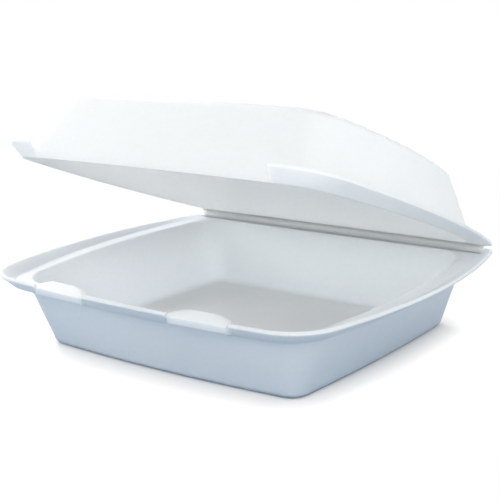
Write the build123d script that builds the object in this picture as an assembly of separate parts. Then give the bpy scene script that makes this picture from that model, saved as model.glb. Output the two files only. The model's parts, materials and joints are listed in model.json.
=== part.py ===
"""Foam clamshell food container: a tapered tray and a domed lid joined along a back crease.

The origin is the centre of the tray's foot, +Z is up, -Y is the front with the lock tabs and
the lid hinges along +Y. The lid stands part open. All lengths are in millimetres.
"""
from build123d import *
import math
import os

# Overall sizes
sheet = 2.2
tray_height = 43.4
lid_height = 35.4
foot_width = 174.4
foot_depth = 158.4
side_overhang = 32.8
front_overhang = 27.0
back_overhang = 19.6
lid_open_angle = 21.0

# Outline of the rim
rim_side_bow = 14.2
rim_front_bow = 6.0
rim_front_radius = 29.0
rim_back_radius = 5.0

# Outline of the foot
foot_side_bow = 2.4
foot_front_bow = 4.2
foot_corner_radius = 9.0

# Outline of the wall below the ledge
wall_side_bow = 9.0
wall_front_bow = 5.2
wall_corner_radius = 23.0

# Stepped lip of the tray
lip_run = 6.0
lip_height = 5.8
ledge_width = 8.0
rim_band = 1.8
rim_land = 1.2
hinge_flange = 12.0

# Lid
lid_side_overhang = 24.6
lid_front_overhang = 25.0
lid_back_overhang = 26.6
lid_side_bow = 11.0
lid_front_bow = 3.0
lid_top_radius = 21.0
lid_wall_side_bow = 13.0
lid_wall_front_bow = 5.0
lid_wall_radius = 24.0
lid_rim_inset = 0.8
lid_seat = 2.8
apron_foot_width = 153.0
apron_rim_width = 160.0

# Lock tabs
tab_width = 35.0
tab_pitch = 94.0
tab_rise = 2.4
tab_run = 6.2
tab_sheet = 1.9
tab_crown = 3.0
tab_corner_radius = 1.5
tab_ridge_radius = 0.8
tab_slit = 1.3

# Fits and rounding
hinge_gap = 0.4
nest_gap = 1.0
foot_edge_radius = 4.0
floor_edge_radius = 5.0
lid_edge_radius = 5.0
lid_inner_edge_radius = 3.5
shoulder_radius = 2.5
rim_edge_radius = 0.5
overrun = 5.0

# Places worked out from the sizes above
rim_reach = foot_width / 2 + side_overhang
rim_front = -foot_depth / 2 - front_overhang
hinge_y = foot_depth / 2 + back_overhang
rim_depth = hinge_y - rim_front
ledge_tilt = math.degrees(math.atan((lip_height - hinge_gap / 2) / rim_depth))
lip_slope = lip_run / (lip_height + sheet - rim_band)
lip_skin = sheet * math.hypot(1, lip_slope)
rim_corner = rim_reach - rim_side_bow
front_curve = (rim_corner ** 2 + rim_front_bow ** 2) / (2 * rim_front_bow)


def outline(reach, front, back, side_bow, front_bow, front_radius, back_radius):
    """A closed face with a bowed front and sides, a straight back and rounded corners."""
    corner_x = reach - side_bow
    corner_y = front + front_bow
    left_front = (-corner_x, corner_y)
    right_front = (corner_x, corner_y)
    left_back = (-corner_x, back)
    right_back = (corner_x, back)
    middle_y = (corner_y + back) / 2
    edges = Curve() + [
        ThreePointArc(left_front, (0, front), right_front),
        ThreePointArc(right_front, (reach, middle_y), right_back),
        Line(right_back, left_back),
        ThreePointArc(left_back, (-reach, middle_y), left_front),
    ]
    face = make_face(edges)
    face = fillet(face.vertices().group_by(Axis.Y)[0], front_radius)
    return fillet(face.vertices().group_by(Axis.Y)[-1], back_radius)


def rim_outline(inset):
    """The rim's outline, ending at the hinge and drawn in by an inset at the front and sides."""
    return outline(rim_reach - inset, rim_front + inset, hinge_y - hinge_gap / 2, rim_side_bow,
                   rim_front_bow, rim_front_radius - inset, rim_back_radius)


def wall_outline(inset, back_trim):
    """The outline of a side wall where it meets the ledge."""
    return outline(rim_reach - inset, rim_front + inset, hinge_y - back_trim, wall_side_bow,
                   wall_front_bow, wall_corner_radius, wall_corner_radius)


def lid_wall_outline(inset, back_trim):
    """The outline of the lid's wall where it meets the lip."""
    return outline(rim_reach - inset, rim_front + inset, hinge_y - back_trim, lid_wall_side_bow,
                   lid_wall_front_bow, lid_wall_radius, lid_wall_radius)


def foot_outline(inset):
    """The outline of the flat foot, drawn in by an inset."""
    return outline(foot_width / 2 - inset, inset - foot_depth / 2, foot_depth / 2 - inset,
                   foot_side_bow, foot_front_bow, foot_corner_radius - inset, foot_corner_radius - inset)


def lid_top_outline(inset):
    """The outline of the lid's flat top, drawn in by an inset."""
    return outline(rim_reach - lid_side_overhang - inset, rim_front + lid_front_overhang + inset,
                   hinge_y - lid_back_overhang - inset, lid_side_bow, lid_front_bow,
                   lid_top_radius - inset, lid_top_radius - inset)


def at_height(face, height):
    """A face lifted to a height above the foot."""
    return Pos(0, 0, height) * face


def on_ledge(face, lift):
    """A face laid on the ledge's plane, which falls from the hinge towards the front."""
    return Pos(0, hinge_y, tray_height + lift) * Rot(X=ledge_tilt) * Pos(0, -hinge_y, 0) * face


def front_plane(x, z):
    """An upright plane that faces the front, with its origin at a place across and a height."""
    return Plane(origin=(x, 0, z), x_dir=(1, 0, 0), z_dir=(0, -1, 0))


def span(low, high):
    """A straight-sided solid between two outlines."""
    return loft([low.face(), high.face()], ruled=True)


def lowest_edges(solid):
    """The edges round the lowest face of a solid."""
    return solid.faces().sort_by(Axis.Z)[0].edges()


def highest_edges(solid):
    """The edges round the highest face of a solid."""
    return solid.faces().sort_by(Axis.Z)[-1].edges()


def ring_openings(solid):
    """The edges round the hole of each flat face that has one: the shoulders between ledge and wall."""
    rings = solid.faces().filter_by(GeomType.PLANE).filter_by(lambda face: face.inner_wires())
    return [edge for face in rings for edge in face.inner_wires()[0].edges()]


def make_tab(side):
    """One lock tab: a tongue of lip that folds back over a ridge to an arched top."""
    foot_z = tray_height - lip_height - sheet / 2
    ridge_z = tray_height - rim_band
    top_z = tray_height + tab_rise
    slope = (top_z - ridge_z) / tab_run
    drop = tab_sheet * math.hypot(1, slope)
    elbow = (rim_land + (rim_band + drop) * lip_slope) / (1 + slope * lip_slope)
    profile = make_face(Plane.YZ * Polyline(
        (rim_front + (ridge_z - foot_z) * lip_slope, foot_z),
        (rim_front, ridge_z),
        (rim_front + tab_run, top_z),
        (rim_front + tab_run, top_z - drop),
        (rim_front + elbow, ridge_z + slope * elbow - drop),
        (rim_front + rim_land + (tray_height - foot_z) * lip_slope, foot_z),
        close=True))
    ridge = profile.vertices().sort_by(Axis.Y)[0]
    top = profile.vertices().sort_by(Axis.Z)[-1]
    profile = fillet([ridge, top], tab_ridge_radius)
    centre = Axis((0, rim_front + front_curve, 0), (0, 0, 1))
    sweep = 2 * math.degrees(math.asin(tab_pitch / 2 / front_curve))
    strip = revolve(profile, centre, side * sweep)

    half = tab_width / 2
    side_z = top_z - tab_crown
    shape = make_face(Curve() + [
        Line((-half, foot_z), (half, foot_z)),
        Line((half, foot_z), (half, side_z)),
        ThreePointArc((half, side_z), (0, top_z), (-half, side_z)),
        Line((-half, side_z), (-half, foot_z)),
    ])
    shape = fillet(shape.vertices().group_by(Axis.Y)[-1], tab_corner_radius)
    return strip & extrude(front_plane(side * tab_pitch / 2, 0) * shape, overrun - rim_front)


def tab_window(side):
    """The stretch of lip that is cut away round one lock tab."""
    width = tab_width + 2 * tab_slit
    window = Box(width, overrun - rim_front, lip_height + overrun,
                 align=(Align.CENTER, Align.MAX, Align.MIN))
    return Pos(side * tab_pitch / 2, 0, 0) * on_ledge(window, -hinge_gap / 2)


def make_tray():
    """The tray: a tapered bowl with a ledge and a flared lip that fades out towards the hinge."""
    ledge_top = -hinge_gap / 2
    ledge_under = ledge_top - sheet
    wall_inset = lip_run + ledge_width
    taper = (rim_reach - wall_inset - foot_width / 2) / (tray_height - lip_height - sheet)
    skin = sheet * math.hypot(1, taper)

    bowl = span(foot_outline(0), on_ledge(wall_outline(wall_inset, hinge_flange), ledge_under))
    bowl = fillet(lowest_edges(bowl), foot_edge_radius)
    lip = span(on_ledge(rim_outline(lip_run), ledge_under),
               at_height(rim_outline(0), tray_height - rim_band))
    band = extrude(at_height(rim_outline(0), tray_height - rim_band), rim_band)
    band = fillet(highest_edges(band), rim_edge_radius)

    hollow = span(at_height(foot_outline(skin - sheet * taper), sheet),
                  on_ledge(wall_outline(wall_inset + skin, hinge_flange + skin), ledge_top))
    hollow = fillet(lowest_edges(hollow), floor_edge_radius)
    lip_hollow = span(on_ledge(rim_outline(rim_land + lip_height * lip_slope), ledge_top),
                      at_height(rim_outline(rim_land), tray_height))
    mouth = extrude(at_height(rim_outline(rim_land), tray_height), overrun)

    tray = bowl + lip + band - hollow - lip_hollow - mouth
    tray = fillet(ring_openings(tray), shoulder_radius)
    for side in (-1, 1):
        tray = tray - tab_window(side) + make_tab(side)
    return tray


def apron_window(low, high):
    """The stretch of lip that is left out along the lid's front, between slanted ends."""
    foot_half = apron_foot_width / 2
    rim_half = apron_rim_width / 2
    corners = [(-foot_half, low), (foot_half, low), (rim_half, high), (-rim_half, high)]
    shape = make_face(Polyline(*corners, close=True))
    return extrude(front_plane(0, 0) * shape, overrun - rim_front)


def make_lid():
    """The lid in its closed place: a dome with a lip that nests in the tray's lip."""
    seat = hinge_gap / 2
    seat_front = tray_height - lip_height + hinge_gap
    lid_top = tray_height + lid_height
    lip_foot = rim_land + (lip_height - hinge_gap) * lip_slope + nest_gap
    rim_low = seat_front + (lip_foot - lid_rim_inset) / lip_slope
    rim_top = rim_low + rim_band
    land = lip_foot + lip_skin - (rim_top - seat_front) * lip_slope
    wall_foot = lip_foot + lid_seat
    taper = (lid_side_overhang - wall_foot) / (lid_top - seat_front)
    skin = sheet * math.hypot(1, taper)

    lip = span(on_ledge(rim_outline(lip_foot), seat),
               at_height(rim_outline(lid_rim_inset), rim_low))
    band = extrude(at_height(rim_outline(lid_rim_inset), rim_low), rim_band)
    band = fillet(highest_edges(band), rim_edge_radius)
    groove = span(on_ledge(rim_outline(lip_foot + lip_skin - sheet * lip_slope), seat + sheet),
                  at_height(rim_outline(land), rim_top))
    mouth = extrude(at_height(rim_outline(land), rim_top), overrun)
    flange = lip + band - groove - mouth - apron_window(seat_front - overrun, rim_top + overrun)

    dome = span(on_ledge(lid_wall_outline(wall_foot - skin, hinge_flange - skin), seat),
                at_height(lid_top_outline(0), lid_top))
    dome = fillet(highest_edges(dome), lid_edge_radius)
    hollow = span(on_ledge(lid_wall_outline(wall_foot, hinge_flange), seat),
                  at_height(lid_top_outline(skin - sheet * taper), lid_top - sheet))
    hollow = fillet(highest_edges(hollow), lid_inner_edge_radius)
    return flange + dome - hollow


def swung(solid, angle):
    """A solid turned about the hinge line, with its front rising."""
    return Pos(0, hinge_y, tray_height) * Rot(X=-angle) * Pos(0, -hinge_y, -tray_height) * solid


os.makedirs("parts", exist_ok=True)
nodes = {
    "tray": make_tray(),
    "lid": swung(make_lid(), lid_open_angle),
}
for name, solid in nodes.items():
    export_step(solid, f"parts/{name}.step")
    print(name, len(solid.solids()), round(solid.volume), solid.bounding_box())
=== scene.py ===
"""Looks of a white foam hinged-lid food container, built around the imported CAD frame."""
import json
import logging
import math
from dataclasses import dataclass, field
from enum import Enum
from typing import ClassVar

import bmesh
import bpy
import numpy as np
from mathutils import Matrix, Vector


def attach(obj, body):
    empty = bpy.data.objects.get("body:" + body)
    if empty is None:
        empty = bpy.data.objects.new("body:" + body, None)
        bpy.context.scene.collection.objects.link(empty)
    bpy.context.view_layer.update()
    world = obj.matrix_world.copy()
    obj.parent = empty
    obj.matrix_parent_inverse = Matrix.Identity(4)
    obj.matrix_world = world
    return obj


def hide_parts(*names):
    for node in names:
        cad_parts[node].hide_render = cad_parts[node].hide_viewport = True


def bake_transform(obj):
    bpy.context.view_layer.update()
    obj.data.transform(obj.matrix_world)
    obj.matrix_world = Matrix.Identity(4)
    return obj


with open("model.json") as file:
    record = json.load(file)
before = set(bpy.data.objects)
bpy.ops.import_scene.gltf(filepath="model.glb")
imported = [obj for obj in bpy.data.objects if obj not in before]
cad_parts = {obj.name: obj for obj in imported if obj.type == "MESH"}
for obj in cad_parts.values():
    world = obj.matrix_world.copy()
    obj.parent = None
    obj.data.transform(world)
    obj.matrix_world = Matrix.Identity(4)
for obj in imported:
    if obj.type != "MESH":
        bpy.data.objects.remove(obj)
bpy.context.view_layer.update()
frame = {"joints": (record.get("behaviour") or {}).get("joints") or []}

LOG = logging.getLogger("foam_container")

Colour = tuple[float, float, float]
WHITE = (1, 1, 1, 1)
SHARP_ANGLE = math.radians(38)
WELD_REACH = 2e-6


class Body(str, Enum):
    """The two bodies that the hinge joins."""

    TRAY = "tray"
    LID = "lid"


class Slot(str, Enum):
    """Material slots of the record."""

    TRAY = "foam_tray"
    LID = "foam_lid"


class Join(str, Enum):
    """Ways to combine two meshes."""

    CUT = "DIFFERENCE"
    KEEP_COMMON = "INTERSECT"
    FUSE = "UNION"


class Nodes:
    """A material's or world's node tree, with short calls to add and join nodes."""

    def __init__(self, tree: bpy.types.NodeTree) -> None:
        """Start from an empty tree.

        Args:
            tree: The node tree to fill.
        """
        self.tree = tree
        self.tree.nodes.clear()

    def add(self, kind: str, **inputs: object) -> bpy.types.Node:
        """Add a node and set its inputs.

        Args:
            kind: The node's type, without the ShaderNode prefix.
            **inputs: Input values by socket name, with spaces as underscores.

        Returns:
            The new node.
        """
        node = self.tree.nodes.new("ShaderNode" + kind)
        for name, value in inputs.items():
            node.inputs[name.replace("_", " ")].default_value = value
        return node

    def join(self, source: bpy.types.NodeSocket, target: bpy.types.NodeSocket) -> None:
        """Link one socket to another."""
        self.tree.links.new(source, target)

    def mix(self, factor: bpy.types.NodeSocket, first: bpy.types.NodeSocket,
            second: bpy.types.NodeSocket) -> bpy.types.NodeSocket:
        """Blend two shaders.

        Args:
            factor: 0 for the first shader and 1 for the second.
            first: The first shader.
            second: The second shader.

        Returns:
            The blended shader.
        """
        node = self.add("MixShader")
        self.join(factor, node.inputs["Fac"])
        self.join(first, node.inputs[1])
        self.join(second, node.inputs[2])
        return node.outputs["Shader"]

    def seen_directly(self) -> bpy.types.NodeSocket:
        """A factor that is 1 for rays from the camera, from gloss and through clear things.

        Returns:
            The socket that carries the factor.
        """
        path = self.add("LightPath")
        total = path.outputs["Is Camera Ray"]
        for name in ("Is Glossy Ray", "Is Transmission Ray"):
            either = self.add("Math")
            either.operation = "MAXIMUM"
            self.join(total, either.inputs[0])
            self.join(path.outputs[name], either.inputs[1])
            total = either.outputs["Value"]
        return total


@dataclass(frozen=True)
class FoamFinish:
    """Fine-celled white foam under a thin satin skin. Lengths are in metres."""

    name: str
    colour: Colour = (0.966, 0.969, 0.972)
    shade: Colour = (0.93, 0.938, 0.946)
    cell: float = 0.0011
    fleck: float = 0.0025
    fleck_share: float = 0.45
    patch: float = 0.03
    tone_span: tuple[float, float] = (0.36, 0.6)
    smoothest: float = 0.42
    roughest: float = 0.6
    cell_depth: float = 0.00005
    cell_bump: float = 0.7
    fleck_depth: float = 0.00009
    fleck_bump: float = 0.8
    wave_depth: float = 0.0002
    wave_bump: float = 0.6
    sheen: float = 0.35
    glow_share: float = 1.0
    glow_depth: float = 0.004

    def material(self) -> bpy.types.Material:
        """Build the material.

        Returns:
            The foam material.
        """
        made = bpy.data.materials.new(self.name)
        made.use_nodes = True
        nodes = Nodes(made.node_tree)
        place = nodes.add("TexCoord").outputs["Object"]
        cells = nodes.add("TexVoronoi", Scale=1 / self.cell, Randomness=1.0)
        cells.feature = "SMOOTH_F1"
        flecks = nodes.add("TexNoise", Scale=1 / self.fleck, Detail=2.0, Roughness=0.6)
        patches = nodes.add("TexNoise", Scale=1 / self.patch, Detail=4.0, Roughness=0.55)
        for texture in (cells, flecks, patches):
            nodes.join(place, texture.inputs["Vector"])
        gloss = nodes.add("MapRange", To_Min=self.smoothest, To_Max=self.roughest)
        nodes.join(cells.outputs["Distance"], gloss.inputs["Value"])
        relief = self._relief(nodes, [
            (patches.outputs["Fac"], self.wave_bump, self.wave_depth),
            (flecks.outputs["Fac"], self.fleck_bump, self.fleck_depth),
            (cells.outputs["Distance"], self.cell_bump, self.cell_depth),
        ])
        skin = nodes.add("BsdfPrincipled", Specular_IOR_Level=self.sheen, Subsurface_Weight=self.glow_share,
                         Subsurface_Radius=(1, 1, 1), Subsurface_Scale=self.glow_depth)
        tone = self._tone(nodes, patches.outputs["Fac"], flecks.outputs["Fac"])
        nodes.join(tone, skin.inputs["Base Color"])
        nodes.join(gloss.outputs["Result"], skin.inputs["Roughness"])
        nodes.join(relief, skin.inputs["Normal"])
        nodes.join(skin.outputs["BSDF"], nodes.add("OutputMaterial").inputs["Surface"])
        return made

    def _tone(self, nodes: Nodes, patches: bpy.types.NodeSocket,
              flecks: bpy.types.NodeSocket) -> bpy.types.NodeSocket:
        """Mottle the colour with slow patches and small flecks.

        Args:
            nodes: The material's nodes.
            patches: The slow pattern.
            flecks: The small pattern.

        Returns:
            The socket that carries the colour.
        """
        mottle = nodes.add("Mix", Factor=self.fleck_share)
        nodes.join(patches, mottle.inputs["A"])
        nodes.join(flecks, mottle.inputs["B"])
        tone = nodes.add("ValToRGB")
        colours = (self.shade, self.colour)
        for element, place, colour in zip(tone.color_ramp.elements, self.tone_span, colours):
            element.position = place
            element.color = (*colour, 1)
        nodes.join(mottle.outputs["Result"], tone.inputs["Fac"])
        return tone.outputs["Color"]

    @staticmethod
    def _relief(nodes: Nodes,
                layers: list[tuple[bpy.types.NodeSocket, float, float]]) -> bpy.types.NodeSocket:
        """Stack bumps, each on the one before.

        Args:
            nodes: The material's nodes.
            layers: Pattern, strength and depth of each bump, broad ones first.

        Returns:
            The socket that carries the bent normal.
        """
        normal = None
        for pattern, strength, depth in layers:
            bump = nodes.add("Bump", Strength=strength, Distance=depth)
            nodes.join(pattern, bump.inputs["Height"])
            if normal is not None:
                nodes.join(normal, bump.inputs["Normal"])
            normal = bump.outputs["Normal"]
        return normal


@dataclass(frozen=True)
class Outline:
    """A rounded outline with a bowed front and sides and a straight back, in metres."""

    reach: float
    front: float
    back: float
    side_bow: float
    front_bow: float
    front_radius: float
    back_radius: float
    steps: ClassVar[tuple[int, ...]] = (24, 20, 44, 12, 16)

    def points(self) -> np.ndarray:
        """Points round the outline, from the middle of the front towards +X and back.

        Returns:
            An array of X and Y places, the same count for every outline.
        """
        corner = np.array([self.reach - self.side_bow, self.front + self.front_bow])
        half = (self.back - corner[1]) / 2
        front_curve = (corner[0] ** 2 + self.front_bow ** 2) / (2 * self.front_bow)
        side_curve = (half ** 2 + self.side_bow ** 2) / (2 * self.side_bow)
        front_centre = np.array([0, self.front + front_curve])
        side_centre = np.array([self.reach - side_curve, corner[1] + half])
        near = self._between(front_centre, front_curve - self.front_radius,
                             side_centre, side_curve - self.front_radius, corner)
        rise = self.back - self.back_radius - side_centre[1]
        run = math.sqrt((side_curve - self.back_radius) ** 2 - rise ** 2)
        far = side_centre + np.array([run, rise])
        stops = [
            np.array([0, self.front]),
            self._toward(front_centre, near, front_curve),
            self._toward(side_centre, near, side_curve),
            self._toward(side_centre, far, side_curve),
            np.array([far[0], self.back]),
            np.array([0, self.back]),
        ]
        centres = [front_centre, near, side_centre, far, None]
        pieces = [self._arc(a, b, c, n) for a, b, c, n in zip(stops, stops[1:], centres, self.steps)]
        right = np.vstack(pieces + [stops[-1][None]])
        left = right[-2:0:-1] * np.array([-1, 1])
        return np.vstack([right, left])

    @staticmethod
    def _between(a: np.ndarray, far_a: float, b: np.ndarray, far_b: float, near: np.ndarray) -> np.ndarray:
        """The point at given distances from two centres.

        Args:
            a: First centre.
            far_a: Distance from the first centre.
            b: Second centre.
            far_b: Distance from the second centre.
            near: A place close to the wanted one of the two answers.

        Returns:
            The point's place.
        """
        gap = np.linalg.norm(b - a)
        along = (b - a) / gap
        run = (far_a ** 2 - far_b ** 2 + gap ** 2) / (2 * gap)
        rise = math.sqrt(far_a ** 2 - run ** 2) * np.array([-along[1], along[0]])
        return min((a + along * run + rise, a + along * run - rise), key=lambda p: np.linalg.norm(p - near))

    @staticmethod
    def _toward(centre: np.ndarray, through: np.ndarray, radius: float) -> np.ndarray:
        """The point on a circle in the direction of another point."""
        return centre + (through - centre) / np.linalg.norm(through - centre) * radius

    @staticmethod
    def _arc(start: np.ndarray, end: np.ndarray, centre: np.ndarray | None, count: int) -> np.ndarray:
        """Points from a start up to, but not at, an end.

        Args:
            start: First point.
            end: Last point, left out.
            centre: Centre of the arc, or None for a straight line.
            count: Number of points.

        Returns:
            The points.
        """
        share = np.linspace(0, 1, count, endpoint=False)[:, None]
        if centre is None:
            return start + (end - start) * share
        a, b = start - centre, end - centre
        turn = math.atan2(a[0] * b[1] - a[1] * b[0], a @ b) * share
        return centre + np.hstack([a[0] * np.cos(turn) - a[1] * np.sin(turn),
                                   a[0] * np.sin(turn) + a[1] * np.cos(turn)])


@dataclass(frozen=True)
class FoamSizes:
    """Sizes that the tray and the lid share, in metres."""

    sheet: float = 0.0022
    tray_height: float = 0.0434
    lid_height: float = 0.0354
    rim_reach: float = 0.11997
    rim_front: float = -0.1062
    hinge_y: float = 0.0988
    rim_side_bow: float = 0.0142
    rim_front_bow: float = 0.006
    rim_front_radius: float = 0.029
    rim_back_radius: float = 0.005
    lip_run: float = 0.006
    lip_height: float = 0.0058
    rim_band: float = 0.0018
    rim_land: float = 0.0012
    hinge_flange: float = 0.012
    hinge_gap: float = 0.0004
    back_trim: float = 0.00027
    back_lean_share: float = 0.1

    @property
    def tilt(self) -> float:
        """Slope angle of the ledge, which falls from the hinge to the front."""
        return math.atan((self.lip_height - self.hinge_gap / 2) / (self.hinge_y - self.rim_front))

    @property
    def lip_slope(self) -> float:
        """How far the lip runs out for each metre it climbs."""
        return self.lip_run / (self.lip_height + self.sheet - self.rim_band)

    @property
    def lip_skin(self) -> float:
        """The lip's thickness measured level."""
        return self.sheet * math.hypot(1, self.lip_slope)

    @property
    def front_curve(self) -> float:
        """Radius of the rim's bowed front."""
        half = self.rim_reach - self.rim_side_bow
        return (half ** 2 + self.rim_front_bow ** 2) / (2 * self.rim_front_bow)

    @property
    def ledge_reach(self) -> float:
        """A reach past the lip that stays on the ledge."""
        return self.lip_run + self.lip_height / 2

    def ledge_height(self, y: float) -> float:
        """Height of the ledge's top at a place from front to back."""
        return self.tray_height - self.hinge_gap / 2 + (y - self.hinge_y) * math.tan(self.tilt)

    def lip_fade(self, ring: np.ndarray) -> np.ndarray:
        """How much of a lip stands at each place: all of it, down to none along the hinge.

        Args:
            ring: A ring along the lip.

        Returns:
            A share from 0 to 1 for each point of the ring.
        """
        return np.clip((self.hinge_y - self.back_trim - ring[:, 1]) / self.rim_back_radius, 0, 1)

    def rim(self, inset: float) -> Outline:
        """The rim's outline, drawn in by an inset at the front and sides and a little at the back."""
        back = self.hinge_y - self.back_trim - self.back_lean_share * inset
        return Outline(self.rim_reach - inset, self.rim_front + inset, back,
                       self.rim_side_bow, self.rim_front_bow, self.rim_front_radius - inset,
                       self.rim_back_radius)

    def wall(self, inset: float, trim: float, side_bow: float, front_bow: float, radius: float) -> Outline:
        """A wall's outline where it meets the ledge, drawn in by an inset and trimmed at the back."""
        return Outline(self.rim_reach - inset, self.rim_front + inset, self.hinge_y - trim,
                       side_bow, front_bow, radius, radius)

    @staticmethod
    def level(outline: Outline, height: float) -> np.ndarray:
        """A ring of points at one height."""
        flat = outline.points()
        return np.column_stack([flat, np.full(len(flat), height)])

    def on_ledge(self, outline: Outline, lift: float) -> np.ndarray:
        """A ring of points on the ledge's slope.

        Args:
            outline: The ring's outline.
            lift: Height above the ledge's plane.

        Returns:
            The ring's points.
        """
        flat = outline.points()
        away = flat[:, 1] - self.hinge_y
        return np.column_stack([flat[:, 0], self.hinge_y + away * math.cos(self.tilt),
                                self.tray_height + lift + away * math.sin(self.tilt)])


@dataclass
class Shell:
    """A foam skin swept through a stack of rings, with soft creases. Lengths are in metres."""

    rings: list[np.ndarray] = field(default_factory=list)
    radii: list[float] = field(default_factory=list)
    steps: int = 5
    hold: float = 0.0008
    room_share: float = 0.46
    trim_share: float = 0.8
    spare_share: float = 0.5
    shortest: float = 1e-9
    straightest: float = 0.9999
    caps: ClassVar[tuple[float, ...]] = (0.99, 0.8, 0.5, 0.2)

    def add(self, ring: np.ndarray, radius: float) -> None:
        """Add a ring and the radius of the crease along it."""
        self.rings.append(ring)
        self.radii.append(radius)

    def soft_rings(self, closed: bool) -> list[np.ndarray]:
        """Round every crease.

        Args:
            closed: Whether the last ring joins the first.

        Returns:
            The rings with their creases rounded and held.
        """
        count = len(self.rings)
        made: list[np.ndarray] = []
        for index, (ring, radius) in enumerate(zip(self.rings, self.radii)):
            if not closed and index in (0, count - 1):
                made.append(ring)
                continue
            to_last = self.rings[index - 1] - ring
            to_next = self.rings[(index + 1) % count] - ring
            far_last = np.linalg.norm(to_last, axis=1, keepdims=True)
            far_next = np.linalg.norm(to_next, axis=1, keepdims=True)
            to_last = to_last / np.maximum(far_last, self.shortest)
            to_next = to_next / np.maximum(far_next, self.shortest)
            meet = (to_last * to_next).sum(1, keepdims=True)
            bend = np.arccos(np.clip(meet, -self.straightest, self.straightest))
            room = self.room_share * np.minimum(far_last, far_next)
            trim = np.minimum(radius / np.tan(bend / 2), self.trim_share * room)
            start, end = ring + to_last * trim, ring + to_next * trim
            spare = np.minimum(self.hold, self.spare_share * (room - trim))
            made.append(start + to_last * spare)
            for share in np.linspace(0, 1, self.steps + 1):
                pull = 2 * share * (1 - share) * np.sin(bend / 2)
                whole = (1 - share) ** 2 + pull + share ** 2
                made.append(((1 - share) ** 2 * start + pull * ring + share ** 2 * end) / whole)
            made.append(end + to_next * spare)
        return made

    @staticmethod
    def toward_middle(ring: np.ndarray, share: float) -> np.ndarray:
        """A ring drawn in towards its own middle."""
        middle = (ring.max(0) + ring.min(0)) / 2
        return middle + (ring - middle) * share

    def mesh(self, name: str, closed: bool = False) -> bpy.types.Object:
        """Build the skin as an object.

        Args:
            name: The object's name.
            closed: Whether the last ring joins the first; otherwise both ends are capped.

        Returns:
            The object, linked to the scene.
        """
        rings = self.soft_rings(closed)
        if not closed:
            rings = ([self.toward_middle(rings[0], share) for share in reversed(self.caps)] + rings
                     + [self.toward_middle(rings[-1], share) for share in self.caps])
        size, count = len(rings[0]), len(rings)
        faces = []
        for low in range(count if closed else count - 1):
            high = (low + 1) % count
            faces += [(low * size + i, low * size + (i + 1) % size,
                       high * size + (i + 1) % size, high * size + i) for i in range(size)]
        if not closed:
            faces.append(tuple(range(size))[::-1])
            faces.append(tuple(range((count - 1) * size, count * size)))
        return make_object(name, np.vstack(rings), faces)


def weld(mesh: bpy.types.Mesh, reach: float = WELD_REACH) -> None:
    """Merge corners that meet, drop slivers and turn the faces outward.

    Args:
        mesh: The mesh that is changed.
        reach: Corners nearer than this merge, in metres.
    """
    work = bmesh.new()
    work.from_mesh(mesh)
    bmesh.ops.remove_doubles(work, verts=work.verts, dist=reach)
    bmesh.ops.dissolve_degenerate(work, edges=work.edges, dist=reach / 2)
    bmesh.ops.recalc_face_normals(work, faces=work.faces)
    work.to_mesh(mesh)
    work.free()


def make_object(name: str, points: np.ndarray, faces: list[tuple[int, ...]]) -> bpy.types.Object:
    """Make a clean closed mesh object.

    Args:
        name: The object's name.
        points: Its corners, in metres.
        faces: Corner numbers of each face.

    Returns:
        The object, linked to the scene, with faces turned outward.
    """
    mesh = bpy.data.meshes.new(name)
    mesh.from_pydata(points.tolist(), [], faces)
    weld(mesh)
    made = bpy.data.objects.new(name, mesh)
    bpy.context.scene.collection.objects.link(made)
    return made


def combine(target: bpy.types.Object, tool: bpy.types.Object, operation: Join) -> None:
    """Cut or join one mesh with another, which is then removed.

    Args:
        target: The mesh that is changed.
        tool: The mesh that it is cut by or joined with.
        operation: What is done.
    """
    change = target.modifiers.new("combine", "BOOLEAN")
    change.operation = operation.value
    change.solver = "EXACT"
    change.object = tool
    bpy.context.view_layer.update()
    made = bpy.data.meshes.new_from_object(target.evaluated_get(bpy.context.evaluated_depsgraph_get()))
    weld(made)
    target.modifiers.clear()
    old = target.data
    target.data = made
    bpy.data.meshes.remove(old)
    bpy.data.objects.remove(tool)


def prism(name: str, shape: list[tuple[float, float]], front: float, back: float) -> bpy.types.Object:
    """Make a straight block from a shape drawn in front view.

    Args:
        name: The object's name.
        shape: X and Z of the shape's corners, in order.
        front: Y of the front face.
        back: Y of the back face.

    Returns:
        The block, linked to the scene.
    """
    count = len(shape)
    points = [(x, y, z) for y in (front, back) for x, z in shape]
    faces = [tuple(range(count)), tuple(range(count, 2 * count))[::-1]]
    faces += [(i, (i + 1) % count, count + (i + 1) % count, count + i) for i in range(count)]
    return make_object(name, np.array(points), faces)


def bar(name: str, rows: list[np.ndarray]) -> bpy.types.Object:
    """Make a solid bar from rows of points that lie along it.

    Args:
        name: The object's name.
        rows: Rows in order once round the bar's cut face, all with the same count of points.

    Returns:
        The bar, linked to the scene, with both ends capped.
    """
    count, size = len(rows), len(rows[0])
    faces = []
    for low in range(count):
        high = (low + 1) % count
        faces += [(low * size + i, low * size + i + 1, high * size + i + 1, high * size + i)
                  for i in range(size - 1)]
    faces += [tuple(row * size + end for row in range(count)) for end in (0, size - 1)]
    return make_object(name, np.vstack(rows), faces)


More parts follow.
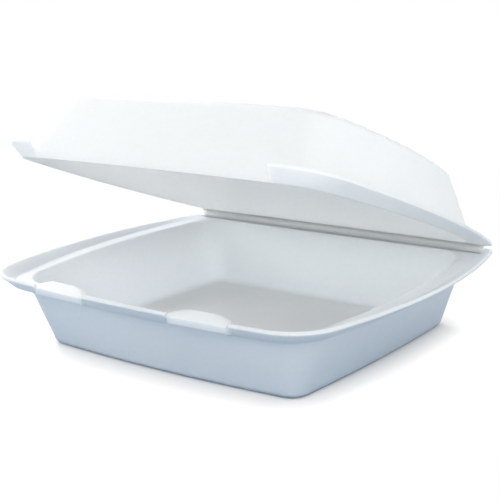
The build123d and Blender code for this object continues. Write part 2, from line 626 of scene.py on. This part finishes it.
@dataclass(frozen=True)
class LockTab:
    """A tongue of lip that folds back over a ridge to an arched top, in metres."""

    width: float = 0.035
    pitch: float = 0.094
    rise: float = 0.0024
    run: float = 0.0062
    sheet: float = 0.0019
    crown: float = 0.003
    ridge: float = 0.0008
    belly_inset: float = 0.0009
    belly_rise: float = 0.0011
    slit: float = 0.0013
    stations: int = 21
    overrun: float = 1.1
    arch_steps: int = 20
    clear: float = 0.00002

    def section(self, sizes: FoamSizes) -> np.ndarray:
        """The tab's cut face as insets from the rim's front and heights.

        Args:
            sizes: The container's shared sizes.

        Returns:
            The corners of the cut face in order.
        """
        foot = sizes.tray_height - sizes.lip_height - sizes.sheet / 2
        ridge = sizes.tray_height - sizes.rim_band
        top = sizes.tray_height + self.rise
        slope = (top - ridge) / self.run
        drop = self.sheet * math.hypot(1, slope)
        elbow = ((sizes.rim_land + (sizes.rim_band + drop) * sizes.lip_slope)
                 / (1 + slope * sizes.lip_slope))
        return np.array([
            ((ridge - foot) * sizes.lip_slope, foot),
            (self.belly_inset, foot + self.belly_rise),
            (0, ridge),
            (self.run, top),
            (self.run, top - drop),
            (elbow, ridge + slope * elbow - drop),
            (sizes.rim_land + (sizes.tray_height - foot) * sizes.lip_slope, foot),
        ])

    def window(self, sizes: FoamSizes, side: int) -> bpy.types.Object:
        """The block that cuts the lip away round one tab.

        Args:
            sizes: The container's shared sizes.
            side: -1 for the left tab and 1 for the right one.

        Returns:
            The cutting block.
        """
        half = self.width / 2 + self.slit
        middle = side * self.pitch / 2
        front = sizes.rim_front - sizes.ledge_reach
        back = sizes.rim_front + sizes.ledge_reach
        left, right = middle - half, middle + half
        block = prism("window", [(left, 0), (right, 0), (right, 1), (left, 1)], front, back)
        for corner in block.data.vertices:
            ledge = sizes.ledge_height(corner.co.y) + self.clear
            corner.co.z = ledge + corner.co.z * (sizes.tray_height + sizes.lip_height - ledge)
        return block

    def build(self, sizes: FoamSizes, side: int) -> bpy.types.Object:
        """Make one tab.

        Args:
            sizes: The container's shared sizes.
            side: -1 for the left tab and 1 for the right one.

        Returns:
            The tab, ready to fuse with the tray.
        """
        curve = sizes.front_curve
        half = self.width / 2
        middle = side * self.pitch / 2
        along = middle + np.linspace(-self.overrun, self.overrun, self.stations) * half
        turns = np.arcsin(along / curve)
        section = Shell(radii=[0, self.ridge, self.ridge, self.ridge, self.ridge / 2, self.ridge, 0])
        for inset, height in self.section(sizes):
            reach = curve - inset
            section.rings.append(np.column_stack([
                reach * np.sin(turns), sizes.rim_front + curve - reach * np.cos(turns),
                np.full(self.stations, height)]))
        tab = bar("lock_tab", section.soft_rings(closed=True))

        top = sizes.tray_height + self.rise
        arch = (half ** 2 + self.crown ** 2) / (2 * self.crown)
        shape = [(middle - half, 0), (middle + half, 0)]
        for x in np.linspace(half, -half, self.arch_steps + 1):
            shape.append((middle + x, top - arch + math.sqrt(arch ** 2 - x ** 2)))
        front = sizes.rim_front - sizes.ledge_reach
        back = sizes.rim_front + 2 * sizes.ledge_reach
        combine(tab, prism("arch", shape, front, back), Join.KEEP_COMMON)
        return tab


@dataclass(frozen=True)
class Tray:
    """The tapered tray with its ledge, flared lip and lock tabs, in metres."""

    sizes: FoamSizes
    finish: FoamFinish
    tab: LockTab = LockTab()
    foot_reach: float = 0.0872
    foot_half: float = 0.0792
    foot_side_bow: float = 0.0024
    foot_front_bow: float = 0.0042
    foot_corner: float = 0.009
    wall_side_bow: float = 0.009
    wall_front_bow: float = 0.0052
    wall_corner: float = 0.023
    ledge_width: float = 0.008
    foot_edge: float = 0.004
    floor_edge: float = 0.005
    shoulder: float = 0.0025
    crease: float = 0.0012
    lip_edge: float = 0.0004
    rim_edge: float = 0.0005
    bevel_run: float = 0.0008
    bevel_drop: float = 0.0012
    flat_share: float = 0.9

    def foot(self, inset: float) -> Outline:
        """The foot's outline, drawn in by an inset."""
        return Outline(self.foot_reach - inset, inset - self.foot_half, self.foot_half - inset,
                       self.foot_side_bow, self.foot_front_bow,
                       self.foot_corner - inset, self.foot_corner - inset)

    def wall(self, inset: float, trim: float) -> Outline:
        """The wall's outline at the ledge, drawn in by an inset and trimmed at the back."""
        return self.sizes.wall(inset, trim, self.wall_side_bow, self.wall_front_bow, self.wall_corner)

    def build(self) -> bpy.types.Object:
        """Make the tray, fuse its tabs and let it stand for its CAD node.

        Returns:
            The dressed tray.
        """
        s = self.sizes
        top, under = -s.hinge_gap / 2, -s.hinge_gap / 2 - s.sheet
        inset = s.lip_run + self.ledge_width
        taper = (s.rim_reach - inset - self.foot_reach) / (s.tray_height - s.lip_height - s.sheet)
        skin = s.sheet * math.hypot(1, taper)
        shell = Shell()
        floor = s.level(self.foot(skin - s.sheet * taper), s.sheet)
        shell.add(Shell.toward_middle(floor, self.flat_share), 0)
        shell.add(floor, self.floor_edge)
        shell.add(s.on_ledge(self.wall(inset + skin, s.hinge_flange + skin), top), self.shoulder)
        ledge = s.on_ledge(s.rim(s.rim_land + s.lip_height * s.lip_slope), top)
        shell.add(ledge, self.crease)
        land, edge = s.level(s.rim(s.rim_land), s.tray_height), s.level(s.rim(0), s.tray_height)
        brow = s.level(s.rim(self.bevel_run), s.tray_height)
        for ring, drop in ((land, 0), (brow, 0), (edge, self.bevel_drop)):
            ring[:, 2] = ledge[:, 2] + (s.tray_height - drop - ledge[:, 2]) * s.lip_fade(ring)
            shell.add(ring, self.rim_edge)
        shell.add(s.level(s.rim(0), s.tray_height - s.rim_band), self.rim_edge)
        shell.add(s.on_ledge(s.rim(s.lip_run), under), self.lip_edge)
        shell.add(s.on_ledge(self.wall(inset, s.hinge_flange), under), self.shoulder)
        foot = s.level(self.foot(0), 0)
        shell.add(foot, self.foot_edge)
        shell.add(Shell.toward_middle(foot, self.flat_share), 0)
        tray = shell.mesh("foam_tray")
        for side in (-1, 1):
            combine(tray, self.tab.window(s, side), Join.CUT)
            combine(tray, self.tab.build(s, side), Join.FUSE)
        return dress(tray, self.finish, Body.TRAY)


@dataclass(frozen=True)
class Lid:
    """The domed lid with a lip that nests in the tray's, in metres."""

    sizes: FoamSizes
    finish: FoamFinish
    open_angle: float
    side_overhang: float = 0.0246
    front_overhang: float = 0.025
    back_overhang: float = 0.0266
    side_bow: float = 0.011
    front_bow: float = 0.003
    top_corner: float = 0.021
    wall_side_bow: float = 0.013
    wall_front_bow: float = 0.005
    wall_corner: float = 0.024
    rim_inset: float = 0.0008
    seat: float = 0.0028
    nest_gap: float = 0.001
    apron_foot: float = 0.0765
    apron_rim: float = 0.08
    top_edge: float = 0.005
    inner_edge: float = 0.0035
    crease: float = 0.0008
    rim_edge: float = 0.0005
    step: float = 0.00003
    ceiling_share: float = 0.9
    crown_share: float = 0.86

    @property
    def seat_lift(self) -> float:
        """Height of the closed lid's seat above the slope through the hinge axis."""
        return self.sizes.hinge_gap / 2

    @property
    def seat_front(self) -> float:
        """Height of the closed lid's seat at the front."""
        return self.sizes.tray_height - self.sizes.lip_height + self.sizes.hinge_gap

    @property
    def crown(self) -> float:
        """Height of the closed lid's flat top."""
        return self.sizes.tray_height + self.sizes.lid_height

    @property
    def lip_foot(self) -> float:
        """Inset of the lip's foot from the tray's rim."""
        s = self.sizes
        return s.rim_land + (s.lip_height - s.hinge_gap) * s.lip_slope + self.nest_gap

    @property
    def wall_foot(self) -> float:
        """Inset of the wall's inner foot from the tray's rim."""
        return self.lip_foot + self.seat

    @property
    def taper(self) -> float:
        """How far the wall leans in for each metre it climbs."""
        return (self.side_overhang - self.wall_foot) / (self.crown - self.seat_front)

    @property
    def skin(self) -> float:
        """The wall's thickness measured level."""
        return self.sizes.sheet * math.hypot(1, self.taper)

    def top(self, inset: float) -> Outline:
        """The flat top's outline, drawn in by an inset."""
        s = self.sizes
        return Outline(s.rim_reach - self.side_overhang - inset, s.rim_front + self.front_overhang + inset,
                       s.hinge_y - self.back_overhang - inset, self.side_bow, self.front_bow,
                       self.top_corner - inset, self.top_corner - inset)

    def wall(self, inset: float, trim: float) -> Outline:
        """The wall's outline at the seat, drawn in by an inset and trimmed at the back."""
        return self.sizes.wall(inset, trim, self.wall_side_bow, self.wall_front_bow, self.wall_corner)

    def dome(self) -> bpy.types.Object:
        """Make the closed lid's wall and top.

        Returns:
            The dome, without its lip.
        """
        s = self.sizes
        trim = s.hinge_flange
        inside = s.level(self.top(self.skin - s.sheet * self.taper), self.crown - s.sheet)
        outside = s.level(self.top(0), self.crown)
        inner = self.wall(self.wall_foot, trim)
        outer = self.wall(self.wall_foot - self.skin, trim - self.skin)
        dome = Shell()
        dome.add(Shell.toward_middle(inside, self.ceiling_share), 0)
        dome.add(inside, self.inner_edge)
        dome.add(s.on_ledge(inner, self.seat_lift), self.crease)
        dome.add(s.on_ledge(outer, self.seat_lift), self.step)
        dome.add(outside, self.top_edge)
        dome.add(Shell.toward_middle(outside, self.crown_share), 0)
        return dome.mesh("foam_lid")

    def flange(self) -> bpy.types.Object:
        """Make the closed lid's seat and lip, cut away over the front apron.

        Returns:
            The flange, ready to fuse with the dome.
        """
        s = self.sizes
        rim_low = self.seat_front + (self.lip_foot - self.rim_inset) / s.lip_slope
        rim_top = rim_low + s.rim_band
        land = self.lip_foot + s.lip_skin - (rim_top - self.seat_front) * s.lip_slope
        inner = self.wall(self.wall_foot - self.skin / 2, s.hinge_flange - self.skin / 2)
        groove_inset = self.lip_foot + s.lip_skin - s.sheet * s.lip_slope
        groove = s.on_ledge(s.rim(groove_inset), self.seat_lift + s.sheet)
        inset_land, edge = s.level(s.rim(land), rim_top), s.level(s.rim(self.rim_inset), rim_top)
        for ring in (inset_land, edge):
            ring[:, 2] = groove[:, 2] + (ring[:, 2] - groove[:, 2]) * s.lip_fade(ring)
        lip = Shell()
        lip.add(s.on_ledge(inner, self.seat_lift + self.step), 0)
        lip.add(s.on_ledge(s.rim(self.lip_foot), self.seat_lift + self.step), self.crease)
        lip.add(s.level(s.rim(self.rim_inset), rim_low), self.rim_edge)
        lip.add(edge, self.rim_edge)
        lip.add(inset_land, self.rim_edge)
        lip.add(groove, self.crease)
        lip.add(s.on_ledge(inner, self.seat_lift + s.sheet), 0)
        flange = lip.mesh("lid_flange", closed=True)

        low, high = s.tray_height - 2 * s.lip_height, s.tray_height + 2 * s.lip_height
        shape = [(-self.apron_foot, low), (self.apron_foot, low),
                 (self.apron_rim, high), (-self.apron_rim, high)]
        combine(flange, prism("apron", shape, s.rim_front - s.ledge_reach, 0), Join.CUT)
        return flange

    def build(self) -> bpy.types.Object:
        """Make the lid part open and let it stand for its CAD node.

        Returns:
            The dressed lid.
        """
        lid = self.dome()
        combine(lid, self.flange(), Join.FUSE)
        axis = Vector((0, self.sizes.hinge_y, self.sizes.tray_height))
        lid.data.transform(Matrix.Translation(axis) @ Matrix.Rotation(-self.open_angle, 4, "X")
                           @ Matrix.Translation(-axis))
        return dress(lid, self.finish, Body.LID)


@dataclass(frozen=True)
class LivingHinge:
    """The foam web in the angle between the tray's and the lid's back flanges, in metres."""

    sizes: FoamSizes
    finish: FoamFinish
    open_angle: float
    half_width: float = 0.1045
    corner: float = 0.005
    tray_reach: float = 0.013
    lid_reach: float = 0.0118
    dip: float = 0.002
    bury: float = 0.00005
    radius: float = 0.00045
    turn_zone: float = 0.0001
    curve_steps: int = 14
    sides: int = 8
    stations: int = 41

    def section(self) -> np.ndarray:
        """The web's cut face, from the lid's side round the back and along to the front.

        Returns:
            Distances in front of the hinge axis and heights above it, in order.
        """
        low, high = -self.sizes.tilt, self.open_angle - self.sizes.tilt
        lift = self.sizes.hinge_gap / 2 + self.bury
        back = [self.radius * np.array([math.cos(turn), math.sin(turn)])
                for turn in np.linspace(high + math.pi / 2, low + 3 * math.pi / 2, self.sides)]
        start = self.tray_reach * np.array([math.cos(low), math.sin(low)])
        end = self.lid_reach * np.array([math.cos(high), math.sin(high)])
        start += lift * np.array([math.sin(low), -math.cos(low)])
        end += lift * np.array([-math.sin(high), math.cos(high)])
        middle = (low + high) / 2
        inward = -self.dip * np.array([math.cos(middle), math.sin(middle)])
        front = [start + (end - start) * share + inward * math.sin(math.pi * share)
                 for share in np.linspace(0, 1, self.curve_steps + 1)]
        return np.array(back + front)

    def build(self) -> bpy.types.Object:
        """Make the web, shaped for the lid's open angle.

        Returns:
            The dressed web.
        """
        s = self.sizes
        rows = []
        for ahead, height in self.section():
            short = self.corner - min(max(ahead, 0), self.corner)
            half = self.half_width - self.corner + math.sqrt(self.corner ** 2 - short ** 2)
            rows.append(np.column_stack([np.linspace(-half, half, self.stations),
                                         np.full(self.stations, s.hinge_y - ahead),
                                         np.full(self.stations, s.tray_height + height)]))
        web = bar("hinge_web", rows)
        smooth(web, self.finish)
        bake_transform(web)
        return web


def smooth(piece: bpy.types.Object, finish: FoamFinish) -> None:
    """Shade a piece smoothly between its sharp edges and give it its finish.

    Args:
        piece: The new mesh.
        finish: Its foam.
    """
    piece.data.materials.clear()
    piece.data.materials.append(finish.material())
    piece.data.polygons.foreach_set("use_smooth", [True] * len(piece.data.polygons))
    piece.data.set_sharp_from_angle(angle=SHARP_ANGLE)


def dress(piece: bpy.types.Object, finish: FoamFinish, body: Body) -> bpy.types.Object:
    """Finish a piece and let it stand for its CAD node.

    Args:
        piece: The new mesh.
        finish: Its foam.
        body: The body it rides on, which is also the CAD node's name.

    Returns:
        The piece.
    """
    smooth(piece, finish)
    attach(piece, body.value)
    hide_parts(body.value)
    return piece


@dataclass(frozen=True)
class StudioFloor:
    """A pale floor that shows white, with a painted shadow round the foot, and returns cool light from
    below. Lengths are in metres.
    """

    half: float = 6.0
    drop: float = 0.0001
    shown: Colour = (0.84, 0.82, 0.8)
    # The next three settle the glow that the camera sees on the floor: ambient occlusion dims it within the
    # given reach of the container, which paints a shadow round the foot, and the warm tint warms that
    # painted shadow.
    lift: Colour = (1.0, 0.926, 0.852)
    glow: float = 0.54
    painted_shadow_reach: float = 0.018
    bounce: Colour = (0.06, 0.2, 0.38)
    far_colour: Colour = (0.95, 0.98, 1.0)
    far_glow: float = 1.06
    far_start: float = 0.17
    far_end: float = 0.32
    fade_start: float = 0.13
    fade_end: float = 0.24

    def build(self) -> bpy.types.Object:
        """Make the floor under the foot.

        Returns:
            The floor.
        """
        signs = ((-1, -1), (1, -1), (1, 1), (-1, 1))
        corners = [(x * self.half, y * self.half, -self.drop) for x, y in signs]
        mesh = bpy.data.meshes.new("studio_floor")
        mesh.from_pydata(corners, [], [(0, 1, 2, 3)])
        floor = bpy.data.objects.new("studio_floor", mesh)
        bpy.context.scene.collection.objects.link(floor)
        mesh.materials.append(self.material())
        return floor

    def material(self) -> bpy.types.Material:
        """Build the floor's material, which keeps the container's lamp shadows and adds a painted shadow
        round the foot.

        Returns:
            The floor material.
        """
        made = bpy.data.materials.new("studio_floor")
        made.use_nodes = True
        nodes = Nodes(made.node_tree)
        away = nodes.add("VectorMath")
        away.operation = "LENGTH"
        nodes.join(nodes.add("TexCoord").outputs["Object"], away.inputs[0])
        distance = away.outputs["Value"]
        below = self._lighting(nodes, distance)
        surface = nodes.mix(nodes.seen_directly(), below, self._look(nodes, distance))
        nodes.join(surface, nodes.add("OutputMaterial").inputs["Surface"])
        return made

    def _lighting(self, nodes: Nodes, distance: bpy.types.NodeSocket) -> bpy.types.NodeSocket:
        """The floor that lights the container: cool near it and glowing further out.

        Args:
            nodes: The material's nodes.
            distance: How far each place is from the container's middle.

        Returns:
            The shader.
        """
        cool = nodes.add("BsdfDiffuse", Color=(*self.bounce, 1))
        sweep = nodes.add("Emission", Color=(*self.far_colour, 1), Strength=self.far_glow)
        spread = nodes.add("MapRange", From_Min=self.far_start, From_Max=self.far_end)
        nodes.join(distance, spread.inputs["Value"])
        return nodes.mix(spread.outputs["Result"], cool.outputs["BSDF"], sweep.outputs["Emission"])

    def _look(self, nodes: Nodes, distance: bpy.types.NodeSocket) -> bpy.types.NodeSocket:
        """The floor that the camera sees: pale and lit, with a glow that ambient occlusion dims near the
        container as a painted shadow, fading to white.

        Args:
            nodes: The material's nodes.
            distance: How far each place is from the container's middle.

        Returns:
            The shader.
        """
        pale = nodes.add("BsdfDiffuse", Color=(*self.shown, 1))
        # Painted shadow: ambient occlusion darkens the glow near the foot and walls, whatever the lamps do.
        corner = nodes.add("AmbientOcclusion", Color=(*self.lift, 1), Distance=self.painted_shadow_reach)
        lift = nodes.add("Emission", Strength=self.glow)
        nodes.join(corner.outputs["Color"], lift.inputs["Color"])
        shown = nodes.add("AddShader")
        nodes.join(pale.outputs["BSDF"], shown.inputs[0])
        nodes.join(lift.outputs["Emission"], shown.inputs[1])
        fade = nodes.add("MapRange", From_Min=self.fade_start, From_Max=self.fade_end)
        nodes.join(distance, fade.inputs["Value"])
        white = nodes.add("Emission", Color=WHITE, Strength=1.0)
        return nodes.mix(fade.outputs["Result"], shown.outputs["Shader"], white.outputs["Emission"])


@dataclass(frozen=True)
class Softbox:
    """A square studio lamp that faces the container. Lengths are in metres and angles in degrees."""

    name: str
    azimuth: float
    elevation: float
    power: float
    side: float = 0.6
    distance: float = 1.4
    target: tuple[float, float, float] = (0.0, 0.0, 0.06)

    def build(self) -> bpy.types.Object:
        """Make the lamp.

        Returns:
            The lamp object.
        """
        data = bpy.data.lights.new(self.name, "AREA")
        data.shape = "SQUARE"
        data.size = self.side
        data.energy = self.power
        lamp = bpy.data.objects.new(self.name, data)
        bpy.context.scene.collection.objects.link(lamp)
        turn, rise = math.radians(self.azimuth), math.radians(self.elevation)
        away = Vector((math.sin(turn) * math.cos(rise), -math.cos(turn) * math.cos(rise), math.sin(rise)))
        lamp.location = Vector(self.target) + away * self.distance
        lamp.rotation_mode = "QUATERNION"
        lamp.rotation_quaternion = (-away).to_track_quat("-Z", "Y")
        return lamp


LAMPS = (
    Softbox("key_front", azimuth=32, elevation=33, power=5.4),
    Softbox("high_right", azimuth=80, elevation=58, power=3.8),
    Softbox("side_left", azimuth=-80, elevation=24, power=2.6),
    Softbox("back_left", azimuth=-112, elevation=30, power=9.8),
)


@dataclass(frozen=True)
class StudioSky:
    """Soft light from all round, brightest in a low cool band, as from a ring of diffusers."""

    stops: tuple[tuple[float, Colour], ...] = (
        (0.05, (0.0, 0.0, 0.0)),
        (0.25, (0.92, 0.99, 1.0)),
        (0.45, (0.02, 0.02, 0.02)),
        (1.0, (0.03, 0.03, 0.03)),
    )
    strength: float = 2.7

    def build(self) -> bpy.types.World:
        """Make the world and give it to the scene.

        Returns:
            The world.
        """
        world = bpy.data.worlds.new("studio_sky")
        world.use_nodes = True
        bpy.context.scene.world = world
        nodes = Nodes(world.node_tree)
        split = nodes.add("SeparateXYZ")
        nodes.join(nodes.add("TexCoord").outputs["Generated"], split.inputs["Vector"])
        ramp = nodes.add("ValToRGB")
        while len(ramp.color_ramp.elements) < len(self.stops):
            ramp.color_ramp.elements.new(0.5)
        for element, (height, colour) in zip(ramp.color_ramp.elements, self.stops):
            element.position = height
            element.color = (*colour, 1)
        nodes.join(split.outputs["Z"], ramp.inputs["Fac"])
        light = nodes.add("Background", Strength=self.strength)
        nodes.join(ramp.outputs["Color"], light.inputs["Color"])
        white = nodes.add("Background", Color=WHITE, Strength=1.0)
        surface = nodes.mix(nodes.seen_directly(), light.outputs["Background"], white.outputs["Background"])
        nodes.join(surface, nodes.add("OutputWorld").inputs["Surface"])
        return world


@dataclass(frozen=True)
class PhotoCamera:
    """The camera that took the picture, in metres and degrees."""

    place: tuple[float, float, float] = (0.37519, -0.49706, 0.19815)
    azimuth: float = 36.92
    elevation: float = 13.43
    roll: float = -1.14
    lens: float = 80.75
    sensor: float = 36.0

    def build(self) -> bpy.types.Object:
        """Make the camera and give it to the scene.

        Returns:
            The camera object.
        """
        data = bpy.data.cameras.new("photo_camera")
        data.lens = self.lens
        data.sensor_width = self.sensor
        data.dof.use_dof = False
        camera = bpy.data.objects.new("photo_camera", data)
        bpy.context.scene.collection.objects.link(camera)
        side, tilt = math.radians(self.azimuth), math.radians(self.elevation)
        back = Vector((math.sin(side) * math.cos(tilt), -math.cos(side) * math.cos(tilt), math.sin(tilt)))
        level = (-back).to_track_quat("-Z", "Y").to_matrix()
        turn = level @ Matrix.Rotation(math.radians(self.roll), 3, "Z")
        camera.location = self.place
        camera.rotation_mode = "QUATERNION"
        camera.rotation_quaternion = turn.to_quaternion()
        bpy.context.scene.camera = camera
        return camera


def main() -> None:
    """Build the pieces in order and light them."""
    logging.basicConfig(level=logging.INFO, format="%(message)s")
    bpy.context.scene.view_settings.view_transform = "Standard"
    sizes = FoamSizes()
    open_angle = -math.radians(frame["joints"][0]["range_deg"][0])
    for piece in (Tray(sizes, FoamFinish("tray_foam")).build(),
                  Lid(sizes, FoamFinish("lid_foam"), open_angle).build(),
                  LivingHinge(sizes, FoamFinish("hinge_foam"), open_angle).build()):
        LOG.info("%s: %d faces", piece.name, len(piece.data.polygons))
    StudioFloor().build()
    StudioSky().build()
    for lamp in LAMPS:
        lamp.build()
    PhotoCamera().build()


if __name__ == "__main__":
    main()
